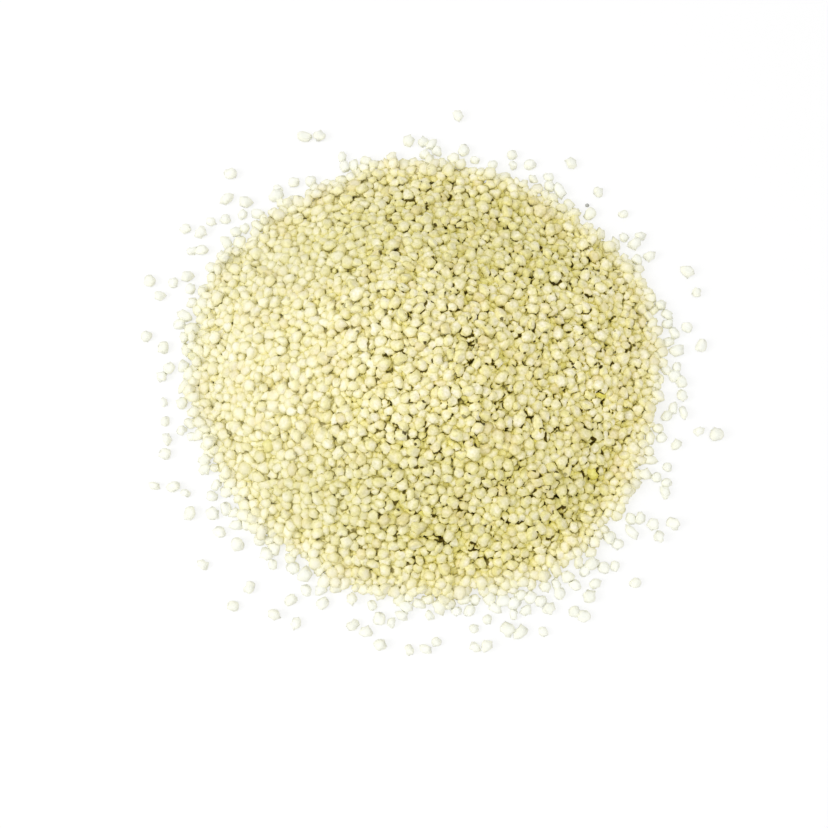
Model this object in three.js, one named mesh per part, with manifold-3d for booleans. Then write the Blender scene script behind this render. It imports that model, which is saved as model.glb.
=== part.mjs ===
// A heap of hulled barnyard millet, poured out on a flat surface, and the grains that rolled off it.
// Millimetres, +Z up. The heap lies on z = 0, and +Y is the far side of the heap as it is looked at.
import * as THREE from "three";
import { mergeVertices } from "three/addons/utils/BufferGeometryUtils.js";
import Module from "manifold-3d";

const wasm = await Module();
wasm.setup();

// One hulled grain: a flattened bead with one flat side, a little narrower at its germ end.
const grain = {
  length: 1.8,
  width: 1.6,
  thickness: 1.2,
  flatSide: 0.72, // how far the flat side lies from the middle, as a share of half the thickness
  taper: 0.16, // how much narrower the germ end is
  sides: 6,
  rows: 4,
  sizeSpread: 0.14, // the largest grains are this share bigger than the mean, the smallest as much smaller
};

// The heap's form, without its grains.
const heap = {
  radius: 36.3, // from the middle to the rim, on average
  height: 14,
  slope: Math.tan(THREE.MathUtils.degToRad(25.5)), // the angle at which poured millet comes to rest
  crown: 4.5, // rounds the top
  foot: 1.2, // the thin layer at the rim, one grain thick
  footBlend: 0.9, // how softly the slope runs out into that layer
  summit: new THREE.Vector2(-1.6, 1.1), // the top isn't quite over the middle
};

// The rim swings in and out round the heap: lobes in a full turn, swing in mm, direction of a crest in degrees.
const rimWaves = [
  { lobes: 2, swing: 1.0, crest: -7 },
  { lobes: 3, swing: 0.57, crest: 41 },
  { lobes: 5, swing: 0.61, crest: 21 },
  { lobes: 7, swing: 0.32, crest: 5 },
];

// Shallow dents and swells of the surface: wavelength and height in mm, direction and start in degrees.
const swells = [
  { wavelength: 31, height: 0.34, heading: 24, start: 60 },
  { wavelength: 19, height: 0.26, heading: 131, start: 200 },
  { wavelength: 12.5, height: 0.16, heading: 78, start: 310 },
];

// The grains of the surface, as bumps side by side.
const bumps = {
  spacing: 1.94,
  rise: 0.26, // how far a bump's top stands over the heap's form
  dip: 0.52, // how far the hollow between bumps lies under it
  sideways: 0.3, // how far a top strays from its place
  hollowSideways: 0.17,
  upAndDown: 0.26,
  rimHeight: 0.42, // the hollows on the very rim
  looseShare: 0.07, // of the bumps, those that are loose grains on top
  looseRise: 0.5, // how much higher these stand
};
const bend = { reach: 1.5, wavelength: 23 }; // bends the rows of bumps, so that none runs straight
const fringe = { every: 6, out: 0.45 }; // grains against the rim: at every sixth hollow there, this far out

// Where single grains have rolled to: the middle direction and half the width of each spill in degrees, how many
// grains it has, and how far from the rim they lie.
const spills = [
  { towards: 15, halfWidth: 28, grains: 5, nearest: 1.9, farthest: 6 },
  { towards: 60, halfWidth: 24, grains: 4, nearest: 1.9, farthest: 4 },
  { towards: 105, halfWidth: 26, grains: 4, nearest: 1.9, farthest: 4.5 },
  { towards: 150, halfWidth: 24, grains: 5, nearest: 1.9, farthest: 6.5 },
  { towards: 190, halfWidth: 22, grains: 6, nearest: 1.9, farthest: 8 },
  { towards: 222, halfWidth: 20, grains: 6, nearest: 2.1, farthest: 13 },
  { towards: 262, halfWidth: 24, grains: 9, nearest: 2.1, farthest: 10 },
  { towards: 298, halfWidth: 20, grains: 8, nearest: 2.1, farthest: 9 },
  { towards: 332, halfWidth: 20, grains: 7, nearest: 2.1, farthest: 11 },
];
const strayGap = 2.4; // the least distance between the middles of two grains on the ground
const heapGap = 1.4; // and between the middle of one and the heap's rim

// A grey grit seed lies apart, at the heap's far right.
const greySeed = { diameter: 0.7, direction: 47, fromRim: 2.6 };

const milletMaterial = new THREE.MeshStandardMaterial({ color: "#e9e0ae", roughness: 0.62, metalness: 0 });
const greyMaterial = new THREE.MeshStandardMaterial({ color: "#8f908a", roughness: 0.7, metalness: 0 });

// The same row of numbers from 0 to 1 each time the model is made.
function seededNumbers(seed) {
  let state = seed;
  return () => {
    state = (state * 1664525 + 1013904223) % 4294967296;
    return state / 4294967296;
  };
}
const random = seededNumbers(20614);
const between = (low, high) => low + (high - low) * random();
const eitherWay = (reach) => between(-reach, reach);

function rimRadius(angle) {
  const swing = ({ lobes, swing, crest }) => swing * Math.cos(lobes * (angle - THREE.MathUtils.degToRad(crest)));
  return rimWaves.reduce((radius, wave) => radius + swing(wave), heap.radius);
}

// How far out a point lies: 0 in the middle and 1 on the rim.
const shareOfRim = (point) => point.length() / rimRadius(point.angle());

// The larger of two heights, rounded where they cross.
const softMax = (a, b, blend) => (a + b + Math.hypot(a - b, blend)) / 2;

function swellHeight(point) {
  return swells.reduce((height, swell) => {
    const heading = THREE.MathUtils.degToRad(swell.heading);
    const along = point.x * Math.cos(heading) + point.y * Math.sin(heading);
    const turn = (2 * Math.PI * along) / swell.wavelength + THREE.MathUtils.degToRad(swell.start);
    return height + swell.height * Math.sin(turn);
  }, 0);
}

// The heap's form over a point of the ground.
function formHeight(point) {
  const fromSummit = point.clone().addScaledVector(heap.summit, Math.max(0, 1 - shareOfRim(point)) * -1);
  const run = shareOfRim(fromSummit) * heap.radius;
  const cone = heap.height + heap.crown - Math.hypot(run * heap.slope, heap.crown);
  const swellShare = THREE.MathUtils.clamp(cone / heap.height, 0, 1) ** 0.5;
  return softMax(cone, heap.foot, heap.footBlend) + swellHeight(point) * swellShare;
}

// A point of the honeycomb that the bumps stand in, with its rows bent.
function honeycombPoint(column, row) {
  const x = (column + row / 2) * bumps.spacing;
  const y = (row * bumps.spacing * Math.sqrt(3)) / 2;
  const turn = (2 * Math.PI) / bend.wavelength;
  return new THREE.Vector2(
    x + bend.reach * Math.sin(y * turn + 1),
    y + bend.reach * Math.sin(x * turn * 0.83 + 2.4),
  );
}

// The heap as one closed surface: each cell of the honeycomb is a bump of six triangles, from its top down to
// the hollows at its corners, which the neighbouring bumps share. A low wall and a flat underside close it.
function heapSurface() {
  const neighbours = [[1, 0], [0, 1], [-1, 1], [-1, 0], [0, -1], [1, -1]];
  const vertices = [];
  const triangles = [];
  const hollows = new Map(); // a corner's place in the honeycomb, to its vertex
  const edges = new Set(); // the cells' own edges, each as "from to"

  function addVertex(point, height) {
    vertices.push(new THREE.Vector3(point.x, point.y, height));
    return vertices.length - 1;
  }

  function hollowAt(column, row) {
    const key = `${column} ${row}`;
    if (!hollows.has(key)) {
      const point = honeycombPoint(column / 3, row / 3);
      point.add(new THREE.Vector2(eitherWay(bumps.hollowSideways), eitherWay(bumps.hollowSideways)));
      const height = formHeight(point) - bumps.dip + eitherWay(bumps.upAndDown / 2);
      hollows.set(key, addVertex(point, height));
    }
    return hollows.get(key);
  }

  function addBump(column, row, middle) {
    const top = middle.clone().add(new THREE.Vector2(eitherWay(bumps.sideways), eitherWay(bumps.sideways)));
    const rise = bumps.rise + eitherWay(bumps.upAndDown) + (random() < bumps.looseShare ? bumps.looseRise : 0);
    const peak = addVertex(top, formHeight(top) + rise);
    const corners = neighbours.map(([columnStep, rowStep], side) => {
      const [nextColumnStep, nextRowStep] = neighbours[(side + 1) % 6];
      return hollowAt(3 * column + columnStep + nextColumnStep, 3 * row + rowStep + nextRowStep);
    });
    corners.forEach((corner, side) => {
      const next = corners[(side + 1) % 6];
      triangles.push([peak, corner, next]);
      edges.add(`${corner} ${next}`);
    });
  }

  const reach = Math.ceil((heap.radius * 1.5) / bumps.spacing);
  for (let row = -reach; row <= reach; row++) {
    for (let column = -2 * reach; column <= 2 * reach; column++) {
      const middle = honeycombPoint(column, row);
      if (shareOfRim(middle) < 1) addBump(column, row, middle);
    }
  }

  // An edge with a bump on one side only is on the rim.
  const onwards = new Map();
  for (const edge of edges) {
    const [from, to] = edge.split(" ").map(Number);
    if (!edges.has(`${to} ${from}`)) onwards.set(from, to);
  }
  const start = onwards.keys().next().value;
  const rim = [start];
  for (let corner = onwards.get(start); corner !== start; corner = onwards.get(corner)) rim.push(corner);
  if (rim.length !== onwards.size) throw new Error("the rim isn't one loop");

  const feet = rim.map((corner) => addVertex(vertices[corner], 0));
  rim.forEach((corner, i) => {
    vertices[corner].z = bumps.rimHeight;
    const next = (i + 1) % rim.length;
    triangles.push([rim[next], corner, feet[i]], [rim[next], feet[i], feet[next]]);
  });
  const outline = feet.map((foot) => new THREE.Vector2(vertices[foot].x, vertices[foot].y));
  for (const [a, b, c] of THREE.ShapeUtils.triangulateShape(outline, [])) {
    const isLeftTurn = THREE.ShapeUtils.area([outline[a], outline[b], outline[c]]) > 0;
    triangles.push(isLeftTurn ? [feet[a], feet[c], feet[b]] : [feet[a], feet[b], feet[c]]);
  }

  return {
    geometry: new THREE.BufferGeometry().setFromPoints(vertices).setIndex(triangles.flat()),
    feet: feet.map((foot) => vertices[foot]),
  };
}

// A grain lying on its flat side, which is at z = 0, with its germ end towards +X.
function grainGeometry() {
  const geometry = new THREE.SphereGeometry(0.5, grain.sides, grain.rows);
  geometry.rotateX(Math.PI / 2);
  geometry.scale(grain.length, grain.width, grain.thickness);
  const position = geometry.getAttribute("position");
  const flatHeight = (-grain.flatSide * grain.thickness) / 2;
  for (let i = 0; i < position.count; i++) {
    const towardsGerm = Math.max(0, position.getX(i) / (grain.length / 2));
    position.setY(i, position.getY(i) * (1 - grain.taper * towardsGerm));
    position.setZ(i, Math.max(flatHeight, position.getZ(i)) - flatHeight);
  }
  geometry.deleteAttribute("normal");
  geometry.deleteAttribute("uv");
  return mergeVertices(geometry);
}

function solidOf(geometry) {
  const vertProperties = new Float32Array(geometry.getAttribute("position").array);
  const triVerts = new Uint32Array(geometry.index.array);
  return new wasm.Manifold(new wasm.Mesh({ numProp: 3, vertProperties, triVerts }));
}

function geometryOf(solid) {
  const { numProp, numVert, vertProperties, triVerts } = solid.getMesh();
  if (numProp !== 3) throw new Error("the solid has more than positions");
  return new THREE.BufferGeometry()
    .setAttribute("position", new THREE.BufferAttribute(vertProperties.slice(0, 3 * numVert), 3))
    .setIndex(new THREE.BufferAttribute(triVerts, 1));
}

// A grain on the ground, turned any way round.
function lyingGrain(place) {
  const mesh = new THREE.Mesh(grainGeometry(), milletMaterial);
  mesh.position.copy(place);
  mesh.rotation.z = eitherWay(Math.PI);
  mesh.scale.setScalar(1 + eitherWay(grain.sizeSpread));
  return mesh;
}

// The heap: its bumpy surface and the grains against its rim, all fused.
function milletHeap(surface, fringePlaces) {
  const fringeGrains = fringePlaces.map((place) => {
    const mesh = lyingGrain(place);
    mesh.updateMatrix();
    return solidOf(mesh.geometry.applyMatrix4(mesh.matrix));
  });
  const solid = wasm.Manifold.union([solidOf(surface), ...fringeGrains]);
  if (solid.decompose().length !== 1) throw new Error("the heap is in more than one piece");
  const mesh = new THREE.Mesh(geometryOf(solid), milletMaterial);
  mesh.name = "millet_heap";
  return mesh;
}

// The place on the ground at this distance out from the rim.
function placeOutside(angle, fromRim) {
  const distance = rimRadius(angle) + fromRim;
  return new THREE.Vector3(distance * Math.cos(angle), distance * Math.sin(angle), 0);
}

// Places for the grains that rolled off, clear of the heap and of each other.
function strayPlaces(feet, fringePlaces) {
  const taken = [...fringePlaces, greySeedPlace];
  const places = [];
  for (const spill of spills) {
    for (let left = spill.grains; left > 0; ) {
      const angle = THREE.MathUtils.degToRad(spill.towards + eitherWay(spill.halfWidth));
      const place = placeOutside(angle, spill.nearest + (spill.farthest - spill.nearest) * random() ** 1.7);
      if (feet.some((foot) => foot.distanceTo(place) < heapGap)) continue;
      if ([...taken, ...places].some((other) => other.distanceTo(place) < strayGap)) continue;
      places.push(place);
      left -= 1;
    }
  }
  return places;
}

const greySeedPlace = placeOutside(THREE.MathUtils.degToRad(greySeed.direction), greySeed.fromRim);
const { geometry: surface, feet } = heapSurface();
const fringePlaces = feet
  .filter((foot, i) => i % fringe.every === 0)
  .map((foot) => foot.clone().setLength(foot.length() + fringe.out));

const group = new THREE.Group();
group.add(milletHeap(surface, fringePlaces));
strayPlaces(feet, fringePlaces).forEach((place, i) => {
  const stray = lyingGrain(place);
  stray.name = `stray_grain_${String(i + 1).padStart(2, "0")}`;
  group.add(stray);
});

const seedGeometry = new THREE.SphereGeometry(greySeed.diameter / 2, grain.sides, grain.rows);
const seed = new THREE.Mesh(seedGeometry.rotateX(Math.PI / 2), greyMaterial);
seed.name = "grey_seed";
seed.position.set(greySeedPlace.x, greySeedPlace.y, greySeed.diameter / 2);
group.add(seed);

// The origin lies under the middle of the whole, so everything moves over together.
const middle = new THREE.Box3().setFromObject(group, true).getCenter(new THREE.Vector3());
group.position.set(-middle.x, -middle.y, 0);

export default group;
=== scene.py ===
# Looks for a heap of hulled barnyard millet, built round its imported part.
# Metres throughout, in the part's own frame: +Z is up, and the photo looks down on the heap from the -Y side.
import math

import bmesh
import bpy
import numpy as np
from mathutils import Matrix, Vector, noise
from mathutils.bvhtree import BVHTree
from mathutils.kdtree import KDTree


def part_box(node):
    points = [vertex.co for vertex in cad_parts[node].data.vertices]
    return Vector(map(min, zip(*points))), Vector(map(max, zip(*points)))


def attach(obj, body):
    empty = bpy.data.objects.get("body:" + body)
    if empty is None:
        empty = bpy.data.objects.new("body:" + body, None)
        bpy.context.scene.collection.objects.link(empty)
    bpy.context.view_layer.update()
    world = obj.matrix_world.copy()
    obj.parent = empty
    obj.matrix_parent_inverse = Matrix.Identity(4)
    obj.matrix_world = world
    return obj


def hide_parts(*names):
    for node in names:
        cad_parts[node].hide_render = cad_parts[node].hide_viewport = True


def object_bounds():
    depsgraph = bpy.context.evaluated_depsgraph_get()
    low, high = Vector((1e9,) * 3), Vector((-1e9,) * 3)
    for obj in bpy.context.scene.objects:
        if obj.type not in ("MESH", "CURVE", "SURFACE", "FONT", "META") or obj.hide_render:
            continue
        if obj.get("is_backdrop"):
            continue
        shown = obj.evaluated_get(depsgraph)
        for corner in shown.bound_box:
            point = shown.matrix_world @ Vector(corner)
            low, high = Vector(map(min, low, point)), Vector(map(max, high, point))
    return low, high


mm = 0.001
diceSeed = 20614
white = (1, 1, 1, 1)

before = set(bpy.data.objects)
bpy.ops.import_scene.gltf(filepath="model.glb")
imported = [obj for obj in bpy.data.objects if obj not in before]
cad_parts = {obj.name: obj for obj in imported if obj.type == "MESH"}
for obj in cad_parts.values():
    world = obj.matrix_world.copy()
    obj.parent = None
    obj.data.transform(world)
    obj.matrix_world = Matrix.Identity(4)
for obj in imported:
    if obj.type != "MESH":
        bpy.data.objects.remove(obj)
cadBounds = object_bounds()
dice = np.random.default_rng(diceSeed)
print("frame loaded,", len(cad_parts), "nodes")


def between(values, low, high):
    # 0 at low and 1 at high, in a straight line
    return np.clip((values - low) / (high - low), 0, 1)


def newObject(name, data):
    piece = bpy.data.objects.new(name, data)
    bpy.context.scene.collection.objects.link(piece)
    return piece


def meshObject(name, shape):
    mesh = bpy.data.meshes.new(name)
    shape.to_mesh(mesh)
    shape.free()
    return newObject(name, mesh)


# the heap's form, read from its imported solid
formValues = {
    "step": 0.5 * mm,  # between the places where the height is read
    "margin": 24 * mm,  # of bare ground round the solid
    "blur": 1.5 * mm,  # takes the solid's own bumps away
    "slopeReach": 1.0 * mm,  # over which the slope is measured
    "weldGap": 0.001 * mm,
    "rimCover": 0.5,  # the blurred cover on the rim, where 1 is well inside it and 0 outside
    "leastCover": 0.04,  # below it there is no heap
    "rimReach": (20, 50, 0.1),  # how far from the middle the rim is looked for, and the step, in mm
    "directions": 361,
}


def copyOfNode(name):
    mesh = bmesh.new()
    mesh.from_mesh(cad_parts[name].data)
    bmesh.ops.remove_doubles(mesh, verts=mesh.verts, dist=formValues["weldGap"])
    return mesh


def blurred(grid, radius):
    reach = int(3 * radius)  # a bell curve has nearly ended there
    weights = np.exp(-0.5 * (np.arange(-reach, reach + 1) / radius) ** 2)
    weights /= weights.sum()
    for axis in (0, 1):
        grid = np.apply_along_axis(np.convolve, axis, grid, weights, mode="same")
    return grid


class HeapForm:
    # the smooth surface through the heap's bumps, as heights on a square grid

    def __init__(self):
        solid = copyOfNode("millet_heap")
        tree = BVHTree.FromBMesh(solid)
        solid.free()
        low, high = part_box("millet_heap")
        margin = Vector((formValues["margin"],) * 3)
        self.corner = np.array((low - margin)[:2])
        farCorner = np.array((high + margin)[:2])
        columns, rows = np.ceil((farCorner - self.corner) / formValues["step"]).astype(int)
        heights = np.zeros((columns, rows))
        for column in range(columns):
            for row in range(rows):
                x, y = self.corner + np.array((column, row)) * formValues["step"]
                # straight down from a metre above
                hit = tree.ray_cast(Vector((x, y, high.z + 1)), Vector((0, 0, -1)))[0]
                heights[column, row] = hit.z if hit else 0
        radius = formValues["blur"] / formValues["step"]
        self.cover = blurred((heights > 0).astype(float), radius)
        self.heights = blurred(heights, radius) / np.maximum(self.cover, formValues["leastCover"])
        self.heights *= self.cover > formValues["leastCover"]
        self.middle = np.array((low + high)[:2]) / 2
        self.angles = np.linspace(-math.pi, math.pi, formValues["directions"])
        self.rims = [self.rimTowards(angle) for angle in self.angles]

    def read(self, grid, places):
        # what the grid holds at these places, in a straight line between its own
        spot = (places[:, :2] - self.corner) / formValues["step"]
        spot = np.clip(spot, 0, np.array(grid.shape) - 1.001)  # just inside the last square
        i, j = spot.astype(int).T
        u, v = (spot - spot.astype(int)).T
        near = grid[i, j] * (1 - u) * (1 - v) + grid[i + 1, j] * u * (1 - v)
        return near + grid[i, j + 1] * (1 - u) * v + grid[i + 1, j + 1] * u * v

    def height(self, places):
        return self.read(self.heights, places)

    def coverAt(self, places):
        return self.read(self.cover, places)

    def rimTowards(self, angle):
        # how far the rim lies from the middle in one direction
        reach = np.arange(*formValues["rimReach"]) * mm
        line = self.middle + np.outer(reach, (math.cos(angle), math.sin(angle)))
        return reach[self.coverAt(line) > formValues["rimCover"]].max()

    def insideRim(self, places):
        # how far inside the rim each place lies, below 0 outside it
        x, y = (places[:, :2] - self.middle).T
        return np.interp(np.arctan2(y, x), self.angles, self.rims) - np.hypot(x, y)

    def normal(self, places):
        reach = formValues["slopeReach"]
        slopes = []
        for step in ((reach, 0, 0), (0, reach, 0)):
            rise = self.height(places + np.array(step)) - self.height(places - np.array(step))
            slopes.append(-rise / (2 * reach))
        normals = np.column_stack([*slopes, np.ones(len(places))])
        return normals / np.linalg.norm(normals, axis=1, keepdims=True)


form = HeapForm()
print("heap form read, highest", round(form.heights.max() / mm, 2), "mm")


# where the grains lie
grainValues = {
    # of a mean grain: along it, across it and through its flat side
    "halfSizes": np.array((0.94, 0.82, 0.62)) * mm,
    "sizeSpread": 0.08,  # of the whole grain, one standard deviation
    "formSpread": 0.11,  # of each of its three sizes by itself
    "smallest": 0.7,  # the limits of each size, as shares of the mean one
    "largest": 1.3,
}
layerValues = {
    "depths": (0.5 * mm, 1.7 * mm),  # of the middles of the grains in each layer, under the form
    "spacing": 1.25 * mm,
    "jitter": 0.3,  # of the spacing
    "depthSwing": 0.5 * mm,  # how far above or below its layer a grain may start
    "lowest": 0.8,  # height at which the lower layer ends, in half thicknesses of a grain
    "tilt": 0.6,  # how far the grains' short axes lean from the slope's normal
    "tiltSpread": 0.6,  # one standard deviation, as a share of a tilt
    "turned": 0.35,  # share of the grains that lie flat side up
    "coreDepth": 2.4 * mm,  # how far under the form the core lies
    "topReach": 1.0 * mm,  # round each place, where its highest grain is looked for
    "gapShadeFrom": (0.5 * mm, 2.5 * mm),  # under the tops, where the painted shade of the gaps begins to make the grains yellower and darker, and does most
    "looseShare": 0.05,  # grains that lie on top, as a share of a layer
    "looseHeight": 1.2 * mm,
}
fringeValues = {
    "grains": 170,
    "fade": 3.6 * mm,  # how fast their number falls away from the rim
    "farthest": 11 * mm,
    "nearSide": 0.5,  # how many more lie on the near side
    "gap": 1.4 * mm,  # at least, between the middles of two of them
    "tilt": 0.22,
}
settleValues = {
    "steps": 170,
    "calmSteps": 50,  # at the end, without the pull
    "pull": 0.03 * mm,  # into the slope, at each step
    "calmRim": 6 * mm,  # how far inside the rim the pull is full, from none on it
    "give": 0.3,  # share of each overlap that one step takes away
    "press": 0.82,  # how close two grains may come, as a share of their touching distance
    "sightEvery": 10,  # steps between two looks for neighbours
    "sight": 2.75 * mm,  # how far off the middle of a neighbour may lie
}


def looseLeaning(normals, tilt):
    # three axes for each grain, its short one near the normal and its long one any way round
    count = len(normals)
    short = normals + dice.normal(size=(count, 3)) * tilt * layerValues["tiltSpread"]
    short /= np.linalg.norm(short, axis=1, keepdims=True)
    short[dice.uniform(size=count) < layerValues["turned"]] *= -1
    long = np.cross(short, dice.normal(size=(count, 3)))
    long /= np.linalg.norm(long, axis=1, keepdims=True)
    return np.stack([long, np.cross(short, long), short], axis=2)


def someSizes(count):
    whole = 1 + grainValues["sizeSpread"] * dice.normal(size=(count, 1))
    sizes = whole * (1 + grainValues["formSpread"] * dice.normal(size=(count, 3)))
    return grainValues["halfSizes"] * np.clip(sizes, grainValues["smallest"], grainValues["largest"])


def layerPlaces(depth, spacing):
    # rows of grains at this depth under the form, each moved a little at random
    low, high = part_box("millet_heap")
    columns = np.arange(low.x, high.x, spacing)
    rows = np.arange(low.y, high.y, spacing * math.sqrt(3) / 2)
    x, y = np.meshgrid(columns, rows)
    x[::2] += spacing / 2
    places = np.column_stack([x.ravel(), y.ravel(), np.zeros(x.size)])
    places[:, :2] += dice.uniform(-1, 1, size=(x.size, 2)) * layerValues["jitter"] * spacing
    places[:, 2] = form.height(places) - depth + dice.uniform(-1, 1, size=x.size) * layerValues["depthSwing"]
    isInside = form.coverAt(places) > formValues["rimCover"]
    isHighEnough = places[:, 2] > grainValues["halfSizes"][2] * layerValues["lowest"]
    return places[isInside & (isHighEnough | (depth == layerValues["depths"][0]))]


def fringePlaces(taken):
    # grains on the ground outside the rim, fewer and fewer outwards
    near = fringeValues["nearSide"]
    places = list(taken[:, :2])
    found = []
    while len(found) < fringeValues["grains"]:
        angle = dice.uniform(-math.pi, math.pi)
        away = dice.exponential(fringeValues["fade"])
        if dice.uniform() > (1 - near * math.sin(angle)) / (1 + near) or away > fringeValues["farthest"]:
            continue
        distance = np.interp(angle, form.angles, form.rims) + away
        place = form.middle + np.array((math.cos(angle), math.sin(angle))) * distance
        if np.min(np.linalg.norm(np.array(places) - place, axis=1)) > fringeValues["gap"]:
            places.append(place)
            found.append((*place, grainValues["halfSizes"][2]))
    return np.array(found)


def neighbours(places):
    # the first and the second grain of each pair that is in sight of each other
    tree = KDTree(len(places))
    for i, place in enumerate(places):
        tree.insert(place, i)
    tree.balance()
    reach = settleValues["sight"]
    pairs = [(i, j) for i, place in enumerate(places) for _, j, _ in tree.find_range(place, reach) if j > i]
    return np.array(pairs).T


def standingHeights(axes, sizes):
    # from each grain's middle to its highest point
    return np.sqrt(((axes[:, 2] * sizes) ** 2).sum(axis=1))


def topsOf(places, standing):
    # the heap's surface as the grains make it: the highest grain round each place, smoothed
    tops = np.zeros_like(form.heights)
    columns, rows = ((places[:, :2] - form.corner) / formValues["step"]).round().astype(int).T
    np.maximum.at(tops, (columns, rows), places[:, 2] + standing)
    reach = int(layerValues["topReach"] / formValues["step"])
    for axis in (0, 1):
        tops = np.max([np.roll(tops, shift, axis) for shift in range(-reach, reach + 1)], axis=0)
    return blurred(tops, reach)


def ellipsoidsOf(axes, sizes):
    # a matrix for each grain, which takes a step from its middle to 1 on its surface
    return np.einsum("nik,nk,njk->nij", axes, sizes**-2.0, axes)


def settle(places, axes, sizes, held):
    # presses the grains gently into the slope and pushes apart those that lie too close, at each step
    shapes = ellipsoidsOf(axes, sizes)
    standing = standingHeights(axes, sizes)
    steps = settleValues["steps"]
    pull = between(form.insideRim(places), 0, settleValues["calmRim"]) * settleValues["pull"] * ~held

    def radius(grains, directions):
        return np.einsum("ni,nij,nj->n", directions, shapes[grains], directions) ** -0.5

    for step in range(steps):
        if step % settleValues["sightEvery"] == 0:
            first, second = neighbours(places)
        if step < steps - settleValues["calmSteps"]:
            places = places - form.normal(places) * pull[:, None]
        apart = places[second] - places[first]
        distance = np.linalg.norm(apart, axis=1)
        directions = apart / distance[:, None]
        touching = (radius(first, directions) + radius(second, directions)) * settleValues["press"]
        overlap = np.maximum(touching - distance, 0)
        push = directions * (overlap * settleValues["give"])[:, None]
        moves = [
            np.bincount(second, push[:, k], len(places)) - np.bincount(first, push[:, k], len(places))
            for k in range(3)
        ]
        places = places + np.column_stack(moves) * ~held[:, None]
        lowest = np.maximum(standing, form.height(places) - layerValues["coreDepth"] + standing)
        places[:, 2] = np.where(held, places[:, 2], np.maximum(places[:, 2], lowest))
    left = [round(value / mm, 3) for value in (overlap.mean(), overlap.max())]
    print("grains settled, mean and largest overlap left in mm:", *left)
    return places


strayNodes = sorted(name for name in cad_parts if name.startswith("stray_grain"))


def strayPoses():
    # place, axes and sizes of each stray grain's solid: its length runs the way that its mesh spreads most
    places, axes, sizes = [], [], []
    for name in strayNodes:
        points = np.array([vertex.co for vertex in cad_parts[name].data.vertices])
        low, high = points.min(axis=0), points.max(axis=0)
        flat = points[:, :2] - (low + high)[:2] / 2
        spread = np.linalg.eigh(flat.T @ flat)[1]
        along, across = flat @ spread[:, 1], flat @ spread[:, 0]
        if abs(along.min()) < along.max():
            spread[:, 1] *= -1
        long = np.array((*spread[:, 1], 0))
        short = np.array((0, 0, 1))
        axes.append(np.stack([long, np.cross(short, long), short], axis=1))
        sizes.append((np.ptp(along) / 2, np.ptp(across) / 2, (high - low)[2] / (1 + shapeValues["flatSide"])))
        places.append((*(low + high)[:2] / 2, shapeValues["flatSide"] * sizes[-1][2]))
    return np.array(places), np.array(axes), np.array(sizes)


# the shape of a grain
shapeValues = {
    "kinds": 9,
    "cuts": 2,  # of each edge of the cube that a grain starts as
    "flatSide": 0.74,  # how far the flat side lies from the middle, as a share of half the thickness
    "outline": 2.3,  # how square the grain is from above, where 2 is an ellipse
    "crown": 2.8,  # how flat its top is, where 2 is an ellipse
    "taper": 0.2,  # how much narrower the germ end is
    "point": 0.05,  # how much longer
    "dent": 0.12,  # the germ's dent in the flat side
    "dentPlace": 0.55,  # how far towards the germ end
    "dentReach": 0.3,  # the square of its radius
    "lumps": 0.52,  # how much they swell and shrink the grain
    "lumpSize": 0.75,
    "kindShift": 7.3,  # between two kinds, in the noise that makes the lumps
}


def grainShape(kind):
    # a flattened bead of unit half sizes, with its germ end towards +X and its flat side down
    values = shapeValues
    shape = bmesh.new()
    bmesh.ops.create_cube(shape, size=2)
    bmesh.ops.subdivide_edges(shape, edges=shape.edges, cuts=values["cuts"], use_grid_fill=True)
    for vertex in shape.verts:
        # the corners of the cube's squares drawn in evenly, onto a slightly squared bead
        vertex.co = Vector([math.tan(value * math.pi / 4) for value in vertex.co])
        x, y, z = [abs(value) for value in vertex.co]
        outwards = (x ** values["outline"] + y ** values["outline"]) ** (1 / values["outline"])
        vertex.co /= (outwards ** values["crown"] + z ** values["crown"]) ** (1 / values["crown"])
    for vertex in shape.verts:
        x, y, z = vertex.co
        germ = max(0.0, x)
        inNoise = vertex.co / values["lumpSize"] + Vector((kind * values["kindShift"], 0, 0))
        lump = 1 + values["lumps"] * noise.noise(inNoise)
        y *= 1 - values["taper"] * germ**2
        x *= 1 + values["point"] * germ**4
        dent = values["dent"] * max(0.0, 1 - ((x - values["dentPlace"]) ** 2 + y**2) / values["dentReach"])
        z = max(z, -values["flatSide"]) + (dent if z < 0 else 0)
        vertex.co = Vector((x, y, z)) * lump
    points = np.array([vertex.co for vertex in shape.verts])
    corners = np.array([[vertex.index for vertex in face.verts] for face in shape.faces])
    shape.free()
    return points, corners


# how painted light and painted shade change the grains' looks over the heap
paintedLightAndShadeValues = {
    "rim": (2.2 * mm, -2.2 * mm),  # how far inside the rim the painted light begins to pale the grains, and pales them most
    "left": 0.34,  # how pale the painted light makes the grains at the left end
    "leftReach": (10 * mm, -34 * mm),  # over which they pale from right to left
    "strokeReach": (-3 * mm, -26 * mm),  # over which their dark strokes fade from right to left, as more light is painted towards the left
    "strokeFade": 0.96,  # share of them that has gone at the left end
    "strokeRim": (0, 5 * mm),  # how far inside the rim the strokes have faded away, and begin to
    "flank": 0.08,  # how much painted shade darkens the grains of the near and the far flank
    "flankReach": (9 * mm, 18 * mm),  # from the middle, towards the near or the far side
    "flankRim": (2 * mm, 8 * mm),  # how far inside the rim they begin to darken, and are darkest
}


def paintedLightAt(places):
    # painted light: 0 where the grains have their full colour, 1 where it makes them nearly white
    rim = between(form.insideRim(places), *paintedLightAndShadeValues["rim"])
    left = between(places[:, 0], *paintedLightAndShadeValues["leftReach"]) * paintedLightAndShadeValues["left"]
    return 1 - (1 - rim) * (1 - left)


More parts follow.
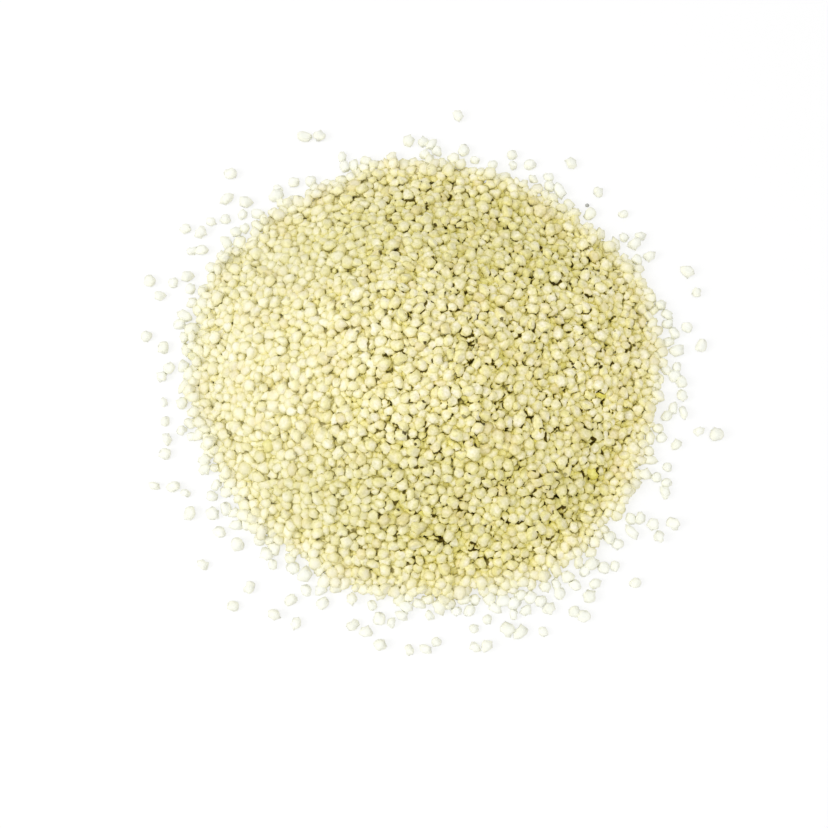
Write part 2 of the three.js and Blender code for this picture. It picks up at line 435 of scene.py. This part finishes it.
def strokesAt(places):
    # how dark the strokes on the grains are, which are painted shadow lines, painted shadow in the deepest
    # gaps and germ scars: they fade towards the left, where more light is painted, and at the rim
    left = 1 - between(places[:, 0], *paintedLightAndShadeValues["strokeReach"]) * paintedLightAndShadeValues["strokeFade"]
    return left * between(form.insideRim(places), *paintedLightAndShadeValues["strokeRim"])


def shadeAt(places):
    # painted shade: the grains of the near and the far flank are a little darker than those of the top and the
    # rim
    flank = between(abs(places[:, 1] - form.middle[1]), *paintedLightAndShadeValues["flankReach"])
    return 1 - paintedLightAndShadeValues["flank"] * flank * between(form.insideRim(places), *paintedLightAndShadeValues["flankRim"])


paintedShadowValues = {
    "towards": (-0.6, 0.5, 0.62),  # the way towards the light, in which a grain lies from the points that it casts its painted shadow on
    "side": (-0.5, 0.1),  # cosines to that way, where a grain begins to count and where it does in full
    "farthest": 2.0,  # in the other grain's half sizes
}


def neighbourTable():
    # each grain's neighbours in a row, filled up with -1
    first, second = neighbours(places)
    pairs = np.column_stack([np.append(first, second), np.append(second, first)])
    pairs = pairs[np.argsort(pairs[:, 0], kind="stable")]
    column = np.arange(len(pairs)) - np.searchsorted(pairs[:, 0], pairs[:, 0])
    table = np.full((len(places), column.max() + 1), -1)
    table[pairs[:, 0], column] = pairs[:, 1]
    return table


def paintedShadowOf(points, grains):
    # painted shadow: how near each point of these grains is to a grain that lies between it and the light: 1
    # where they meet
    towards = np.array(paintedShadowValues["towards"])
    paintedShadowDistance = np.full(points.shape[:2], paintedShadowValues["farthest"])
    for other in nearGrains[grains].T:
        away = points - places[other][:, None]
        nearness = np.einsum("nvi,nij,nvj->nv", away, ellipsoids[other], away) ** 0.5
        side = -(away @ towards) / np.linalg.norm(away, axis=2)
        nearness = nearness + 1 - between(side, *paintedShadowValues["side"])
        nearness[other < 0] = paintedShadowValues["farthest"]
        paintedShadowDistance = np.minimum(paintedShadowDistance, nearness)
    return paintedShadowDistance


def joinGrains(name, grains):
    # one mesh of all these grains, each a copy of one of the shapes
    kinds = dice.integers(shapeValues["kinds"], size=len(grains))
    local = shapePoints[kinds]
    points = places[grains][:, None] + np.einsum("nvk,nik->nvi", local * sizes[grains][:, None], axes[grains])
    count = local.shape[1]
    faces = shapeCorners[None] + count * np.arange(len(grains))[:, None, None]
    mesh = bpy.data.meshes.new(name)
    mesh.from_pydata(points.reshape(-1, 3), [], faces.reshape(-1, 4).tolist())
    mesh.shade_smooth()
    flat = points.reshape(-1, 3)
    numbers = {
        "tone": np.repeat(tones[grains], count),
        "paintedLight": np.repeat(paintedLightAt(places[grains]), count),
        "strokes": np.repeat(strokesAt(places[grains]), count),
        "shade": np.repeat(shadeAt(places[grains]), count),
        "gapShade": between(form.read(tops, flat) - flat[:, 2], *layerValues["gapShadeFrom"]),
        "paintedShadowDistance": paintedShadowOf(points, grains).ravel(),
    }
    for attribute, values in numbers.items():
        mesh.attributes.new(attribute, "FLOAT", "POINT").data.foreach_set("value", values)
    mesh.attributes.new("grainPlace", "FLOAT_VECTOR", "POINT").data.foreach_set("vector", local.ravel())
    return newObject(name, mesh)


made = [grainShape(kind) for kind in range(shapeValues["kinds"])]
shapePoints = np.array([points for points, corners in made])
shapeCorners = made[0][1]

strayPlaces, strayAxes, straySizes = strayPoses()
layers = [layerPlaces(depth, layerValues["spacing"]) for depth in layerValues["depths"]]
isLoose = dice.uniform(size=len(layers[0])) < layerValues["looseShare"]
loose = layers[0][isLoose] + (0, 0, layerValues["looseHeight"])
seedPlace = np.array(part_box("grey_seed")).mean(axis=0)
fringe = fringePlaces(np.concatenate([strayPlaces, [seedPlace]]))
slopePlaces = np.concatenate([*layers, loose])
places = np.concatenate([slopePlaces, fringe, strayPlaces])
axes = np.concatenate([
    looseLeaning(form.normal(slopePlaces), layerValues["tilt"]),
    looseLeaning(np.tile((0.0, 0.0, 1.0), (len(fringe), 1)), fringeValues["tilt"]),
    strayAxes,
])
sizes = np.concatenate([someSizes(len(slopePlaces) + len(fringe)), straySizes])
held = np.arange(len(places)) >= len(places) - len(strayPlaces)
print("grains:", [len(layer) for layer in layers], len(loose), len(fringe), len(strayPlaces))
places = settle(places, axes, sizes, held)
tops = topsOf(places, standingHeights(axes, sizes))
ellipsoids = ellipsoidsOf(axes, sizes)
nearGrains = neighbourTable()


class Wire:
    # one output of a shader node; arithmetic on it adds Math nodes

    def __init__(self, tree, output):
        self.tree = tree
        self.output = output

    def node(self, kind, settings=None, inputs=None, output=0):
        added = self.tree.nodes.new(kind)
        for name, value in (settings or {}).items():
            setattr(added, name, value)
        for name, value in (inputs or {}).items():
            if isinstance(value, Wire):
                self.tree.links.new(value.output, added.inputs[name])
            else:
                added.inputs[name].default_value = value
        return Wire(self.tree, added.outputs[output] if added.outputs else None)

    def math(self, operation, first, second=0.0):
        return self.node("ShaderNodeMath", {"operation": operation}, {0: first, 1: second})

    def __add__(self, other):
        return self.math("ADD", self, other)

    def __sub__(self, other):
        return self.math("SUBTRACT", self, other)

    def __rsub__(self, other):
        return self.math("SUBTRACT", other, self)

    def __mul__(self, other):
        return self.math("MULTIPLY", self, other)

    __radd__ = __add__
    __rmul__ = __mul__

    def vector(self, operation, second):
        return self.node("ShaderNodeVectorMath", {"operation": operation}, {0: self, 1: second})

    def length(self):
        return self.node("ShaderNodeVectorMath", {"operation": "LENGTH"}, {0: self}, output="Value")

    def attribute(self, name, output="Fac"):
        return self.node("ShaderNodeAttribute", {"attribute_name": name}, output=output)

    def speckle(self, place, scale, detail=2.0):
        # a noise round 0.5, with as many spots to a metre as the scale
        inputs = {"Vector": place, "Scale": scale, "Detail": detail}
        return self.node("ShaderNodeTexNoise", {}, inputs, output="Fac")

    def between(self, low, high):
        # 0 below low and 1 above high, or the other way round, with soft ends
        settings = {"interpolation_type": "SMOOTHSTEP"}
        return self.node("ShaderNodeMapRange", settings, {"Value": self, "From Min": low, "From Max": high})

    def mix(self, first, second):
        # from the first colour, where this is 0, to the second
        settings = {"data_type": "RGBA"}
        return self.node("ShaderNodeMix", settings, {0: self, 6: first, 7: second}, output=2)

    def finish(self, inputs):
        # the material's surface, with these inputs
        surface = self.node("ShaderNodeBsdfPrincipled", {}, inputs)
        self.node("ShaderNodeOutputMaterial", {}, {"Surface": surface})


def newMaterial(name):
    # an empty material, and a wire that its nodes are added from
    material = bpy.data.materials.new(name)
    material.use_nodes = True
    material.node_tree.nodes.clear()
    return material, Wire(material.node_tree, None)


def rgb(red, green, blue):
    # a colour as a screen shows it, 0 to 255, in the linear values that shaders take
    return (*[((value / 255 + 0.055) / 1.055) ** 2.4 for value in (red, green, blue)], 1)


grainLooks = {
    "cream": {"body": rgb(236, 229, 192), "edge": rgb(234, 226, 162)},
    "ivory": {"body": rgb(240, 234, 206), "edge": rgb(237, 230, 176)},
    "pale": {"body": rgb(238, 231, 198), "edge": rgb(235, 227, 168)},
    "straw": {"body": rgb(233, 225, 182), "edge": rgb(230, 221, 152)},
    "tan": {"body": rgb(230, 219, 176), "edge": rgb(226, 213, 147)},
    "yellow": {"body": rgb(230, 223, 134), "edge": rgb(226, 216, 100)},
}
finishValues = {
    # painted shade: the yellow that the gaps between the grains are coloured
    "gapShade": rgb(232, 223, 136),
    "gapShadeReach": (0.06, 0.5),  # shares of the depth from layerValues over which it comes in
    # the dark of the painted shadow lines, of the painted shadow in the deepest gaps, and of the germ scars
    "dark": rgb(68, 55, 3),
    # shares of the depth from layerValues over which the painted shadow of the deepest gaps comes in
    "gapShadowReach": (0.55, 0.8),
    "shadeOlive": rgb(190, 175, 80),  # painted shade round the painted shadow lines and the deepest gaps
    # painted shadow lines, where a grain shades its neighbour on the side away from the light: where they end
    # and are full, in half sizes of a grain from its surface
    "line": (-0.01, -0.11),
    "shadeOliveLine": (0.17, -0.05),
    "lineSwing": 2.6,  # how much a noise widens and narrows them, so that they come and go
    "lineScale": 700.0,
    "lineLightFade": 0.75,  # share of the dark strokes that has gone where painted light makes the grains palest
    "patch": rgb(222, 207, 152),
    "patchScale": 260.0,
    "patchReach": (0.52, 0.72),
    "patchShare": 0.45,
    # the body's and the edge's colours where painted light makes the grains palest
    "lightPaledBody": rgb(238, 239, 229),
    "lightPaledEdge": rgb(241, 241, 226),
    "roughness": 0.6,
    "roughnessSwing": 0.1,
    "shine": 0.12,
    "toneSpread": 0.22,  # of the grains' tones round 0.5, one standard deviation
    "toneSwing": 0.02,  # how much lighter and darker they make a grain
    "mottle": 0.13,  # how much lighter and darker spots as large as a grain make it
    "mottleScale": 900.0,
    "chalk": 0.6,  # the same for small ones
    "chalkScale": 2200.0,
    "calm": 0.5,  # share of the spots and of the gaps' painted yellow shade that stays where the strokes have faded away
    "edgeFrom": (0.4, 1.0),  # where the body's colour ends and the edge's is full, in half sizes
    "edgeShape": (1.0, 1.0, 0.4),  # how much each way across the grain counts for that
    "edgeSwing": 0.5,  # how ragged it is
    # the germ's scar, by its middle and half sizes on the bead, and the tones of the grains that have it
    "scar": ((1.0, 0.0, 0.0), (0.2, 0.45, 0.45)),
    "scarEdge": (1.2, 0.8),
    "scarTones": (0.5, 0.56),
    "bump": 0.5,
    "dentScale": 1500.0,
    "dentDetail": 3.0,
    "dentDepth": 0.15 * mm,
}


def scarMask(local, ragged):
    # 1 on the dark scar, 0 off it
    place, halfSizes = finishValues["scar"]
    distance = local.vector("SUBTRACT", place).vector("DIVIDE", halfSizes).length()
    return (distance + ragged - 0.5).between(*finishValues["scarEdge"])


def grainMaterial(name, look):
    values = finishValues
    material, start = newMaterial(name)
    point = start.node("ShaderNodeTexCoord", output="Object")
    local = start.attribute("grainPlace", "Vector")
    tone, paintedLight, strokes, shade = [start.attribute(each) for each in ("tone", "paintedLight", "strokes", "shade")]
    gapShade, paintedShadowDistance = start.attribute("gapShade"), start.attribute("paintedShadowDistance")
    mottle = start.speckle(point, values["mottleScale"])
    chalk = start.speckle(point, values["chalkScale"])
    patch = start.speckle(point, values["patchScale"])
    breaks = start.speckle(point, values["lineScale"])
    dents = start.speckle(point, values["dentScale"], values["dentDetail"])

    # the body and its yellower edge, paled by painted light, with patches, the gaps' painted yellow shade, and
    # lighter and darker spots
    fromHeart = local.vector("MULTIPLY", values["edgeShape"]).length()
    edge = (fromHeart + (mottle - 0.5) * values["edgeSwing"]).between(*values["edgeFrom"])
    body = edge.mix(look["body"], look["edge"])
    lightPaled = paintedLight.mix(body, edge.mix(values["lightPaledBody"], values["lightPaledEdge"]))
    patches = patch.between(*values["patchReach"]) * (1 - paintedLight) * values["patchShare"]
    patched = patches.mix(lightPaled, values["patch"])
    calm = strokes * (1 - values["calm"]) + values["calm"]
    gapShaded = (gapShade.between(*values["gapShadeReach"]) * (1 - paintedLight) * calm).mix(patched, values["gapShade"])
    toneSwing = tone * (2 * values["toneSwing"]) + (1 - values["toneSwing"])
    spots = (mottle - 0.5) * values["mottle"] + (chalk - 0.5) * values["chalk"] * (1 - paintedLight)
    # the grains' own tone and spots, times the painted shade of the flanks
    toneAndShade = (toneSwing + spots * calm) * shade
    grey = start.node("ShaderNodeCombineColor", {}, {"Red": toneAndShade, "Green": toneAndShade, "Blue": toneAndShade * toneAndShade})
    multiply = {"data_type": "RGBA", "blend_type": "MULTIPLY"}
    toned = start.node("ShaderNodeMix", multiply, {0: 1.0, 6: gapShaded, 7: grey}, output=2)

    # painted shadow lines where a grain shades its neighbour, with painted olive shade round them, the germ's
    # scar, and painted shadow in the deepest gaps
    beyond = paintedShadowDistance - 1 + (breaks - 0.5) * values["lineSwing"]
    scar = scarMask(local, chalk) * tone.between(*values["scarTones"])
    gapShadow = gapShade.between(*values["gapShadowReach"])
    fade = strokes * (1 - paintedLight * values["lineLightFade"])
    shadeOlive = start.math("MAXIMUM", beyond.between(*values["shadeOliveLine"]), gapShadow) * fade
    line = start.math("MAXIMUM", beyond.between(*values["line"]), scar)
    dark = start.math("MAXIMUM", line, gapShadow) * fade
    color = dark.mix(shadeOlive.mix(toned, values["shadeOlive"]), values["dark"])

    bumpInputs = {"Strength": values["bump"], "Distance": values["dentDepth"], "Height": dents}
    start.finish({
        "Base Color": color,
        "Roughness": mottle * values["roughnessSwing"] + values["roughness"],
        "Specular IOR Level": values["shine"],
        "Normal": start.node("ShaderNodeBump", {}, bumpInputs),
    })
    return material


# the grains, one piece for each look, with its share of the heap's grains
grainKinds = {"cream": 0.28, "ivory": 0.17, "pale": 0.28, "straw": 0.238, "tan": 0.03, "yellow": 0.002}


def addPiece(piece, material, slot, *nodes):
    piece.data.materials.append(material)
    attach(piece, "root")
    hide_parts(*nodes)


heapCount = len(places) - len(strayPlaces)
share = dice.uniform(size=heapCount)
tones = np.clip(0.5 + finishValues["toneSpread"] * dice.normal(size=len(places)), 0, 1)
reached = 0.0
for kind, part in grainKinds.items():
    chosen = np.flatnonzero((share >= reached) & (share < reached + part))
    reached += part
    piece = joinGrains(f"{kind}_grains", chosen)
    addPiece(piece, grainMaterial(f"{kind} millet", grainLooks[kind]), "millet", "millet_heap")
    print(piece.name, len(chosen))

piece = joinGrains("stray_grains", np.flatnonzero(held))
addPiece(piece, grainMaterial("stray millet", grainLooks["pale"]), "millet", *strayNodes)
print(piece.name, len(strayNodes))


coreValues = {
    "depth": layerValues["coreDepth"] - 0.3 * mm,  # under the solid's surface
    "thin": 0.12,  # how high it still is near the rim, as a share of the solid's height
    "drawnIn": 0.965,  # towards the middle, so that the rim's grains hide its edge
    # painted shade: the olive of the shaded depths seen between the grains, mottled darker
    "color": rgb(150, 132, 62),
    "dark": rgb(120, 100, 40),
    "mottleScale": 700.0,
    "mottleReach": (0.3, 0.7),
    "rim": rgb(238, 231, 196),  # where painted light makes the grains over it palest, the core is painted as pale
    "roughness": 0.8,
}


def makeCore():
    # a sheet of painted shade, dark olive under the grains and pale under the rim: the imported solid's own
    # bumps, lowered until they lie under the grains, and thin under those of the rim
    core = copyOfNode("millet_heap")
    points = np.array([vertex.co for vertex in core.verts])
    paintedLight = paintedLightAt(points)
    points[:, 2] = np.maximum(points[:, 2] - coreValues["depth"], points[:, 2] * coreValues["thin"])
    points[:, :2] = form.middle + (points[:, :2] - form.middle) * coreValues["drawnIn"]
    for vertex, point in zip(core.verts, points):
        vertex.co = point
    piece = meshObject("core", core)
    piece.data.attributes.new("paintedLight", "FLOAT", "POINT").data.foreach_set("value", paintedLight)
    return piece


def shadeCoreMaterial():
    values = coreValues
    material, start = newMaterial("painted shade core")
    mottle = start.speckle(start.node("ShaderNodeTexCoord", output="Object"), values["mottleScale"])
    mottled = mottle.between(*values["mottleReach"]).mix(values["color"], values["dark"])
    color = start.attribute("paintedLight").mix(mottled, values["rim"])
    start.finish({"Base Color": color, "Roughness": values["roughness"]})
    return material


addPiece(makeCore(), shadeCoreMaterial(), "millet", "millet_heap")
print("core made")


seedValues = {
    "color": rgb(182, 183, 177),
    "dark": rgb(152, 152, 147),
    "mottleScale": 5000.0,
    "mottleReach": (0.35, 0.65),
    "roughness": 0.7,
    "lumps": 0.05,
    "lumpSize": 0.5,  # in half sizes of the seed
}


def makeSeed():
    low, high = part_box("grey_seed")
    seed = bmesh.new()
    bmesh.ops.create_icosphere(seed, subdivisions=3, radius=1)
    for vertex in seed.verts:
        vertex.co *= 1 - seedValues["lumps"] * (0.5 + noise.noise(vertex.co / seedValues["lumpSize"]))
    bmesh.ops.scale(seed, verts=seed.verts, vec=(high - low) / 2)
    bmesh.ops.translate(seed, verts=seed.verts, vec=(low + high) / 2)
    piece = meshObject("grey_seed_skin", seed)
    piece.data.shade_smooth()
    return piece


def seedMaterial():
    values = seedValues
    material, start = newMaterial("grey seed coat")
    mottle = start.speckle(start.node("ShaderNodeTexCoord", output="Object"), values["mottleScale"])
    color = mottle.between(*values["mottleReach"]).mix(values["color"], values["dark"])
    start.finish({"Base Color": color, "Roughness": values["roughness"]})
    return material


addPiece(makeSeed(), seedMaterial(), "grey_seed", "grey_seed")
print("grey seed made")


stageValues = {
    "groundSize": 3.0,
    "groundColor": rgb(172, 172, 172),
    "groundRoughness": 0.9,
    "groundGlow": 0.52,  # lifts the shadows on the ground, as the photo's bright exposure does
    "skyStrength": 0.74,
}
# each light's place in metres, its size, and how bright white paper looks that faces it
lightValues = {
    "top": {"place": (0.0, -0.08, 0.88), "size": 0.45, "strength": 0.3},
    "window": {"place": (-0.48, -0.1, 0.38), "size": 0.35, "strength": 0.28},
}
cameraValues = {
    "imageSize": 828,
    "pixel": 0.16 * mm,  # what a pixel of the photo covers at the heap
    "heapInImage": (422, 375),  # the middle of the heap's box there
    "elevation": 79,  # degrees above the ground
    "lens": 55,  # this and the sensor's width in mm
    "sensor": 36,
    "clipStart": 0.01,
}


def makeStage():
    ground = bmesh.new()
    bmesh.ops.create_grid(ground, x_segments=1, y_segments=1, size=stageValues["groundSize"] / 2)
    piece = meshObject("ground", ground)
    material, start = newMaterial("white paper")
    start.finish({
        "Base Color": stageValues["groundColor"],
        "Roughness": stageValues["groundRoughness"],
        "Emission Color": white,
        "Emission Strength": stageValues["groundGlow"],
    })
    piece.data.materials.append(material)
    piece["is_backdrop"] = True


def makeLights():
    world = bpy.data.worlds.new("sky")
    world.use_nodes = True
    background = world.node_tree.nodes["Background"]
    background.inputs["Color"].default_value = white
    background.inputs["Strength"].default_value = stageValues["skyStrength"]
    bpy.context.scene.world = world
    for name, values in lightValues.items():
        lamp = bpy.data.lights.new(name, "AREA")
        lamp.shape = "DISK"
        lamp.size = values["size"]
        place = Vector(values["place"])
        lamp.energy = values["strength"] * math.pi**2 * place.length_squared
        light = newObject(name, lamp)
        light.location = place
        light.rotation_mode = "QUATERNION"
        light.rotation_quaternion = (-place).to_track_quat("-Z", "Y")


def makeCamera():
    values = cameraValues
    low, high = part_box("millet_heap")
    middle = (low + high) / 2
    across, down = [values["imageSize"] / 2 - pixel for pixel in values["heapInImage"]]
    elevation = math.radians(values["elevation"])
    y = middle.y - down * values["pixel"] / math.sin(elevation)
    target = Vector((middle.x + across * values["pixel"], y, 0))
    distance = values["imageSize"] * values["pixel"] * values["lens"] / values["sensor"]
    back = Vector((0, -math.cos(elevation), math.sin(elevation)))
    lens = bpy.data.cameras.new("camera")
    lens.lens = values["lens"]
    lens.sensor_width = values["sensor"]
    lens.clip_start = values["clipStart"]
    camera = newObject("camera", lens)
    camera.location = target + back * distance
    camera.rotation_mode = "QUATERNION"
    camera.rotation_quaternion = (-back).to_track_quat("-Z", "Y")
    bpy.context.scene.camera = camera


makeStage()
makeLights()
makeCamera()
bpy.context.scene.view_settings.view_transform = "Standard"
print("stage, lights and camera set")

sizes = {"cad": [list(corner) for corner in cadBounds], "visual": [list(corner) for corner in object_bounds()]}
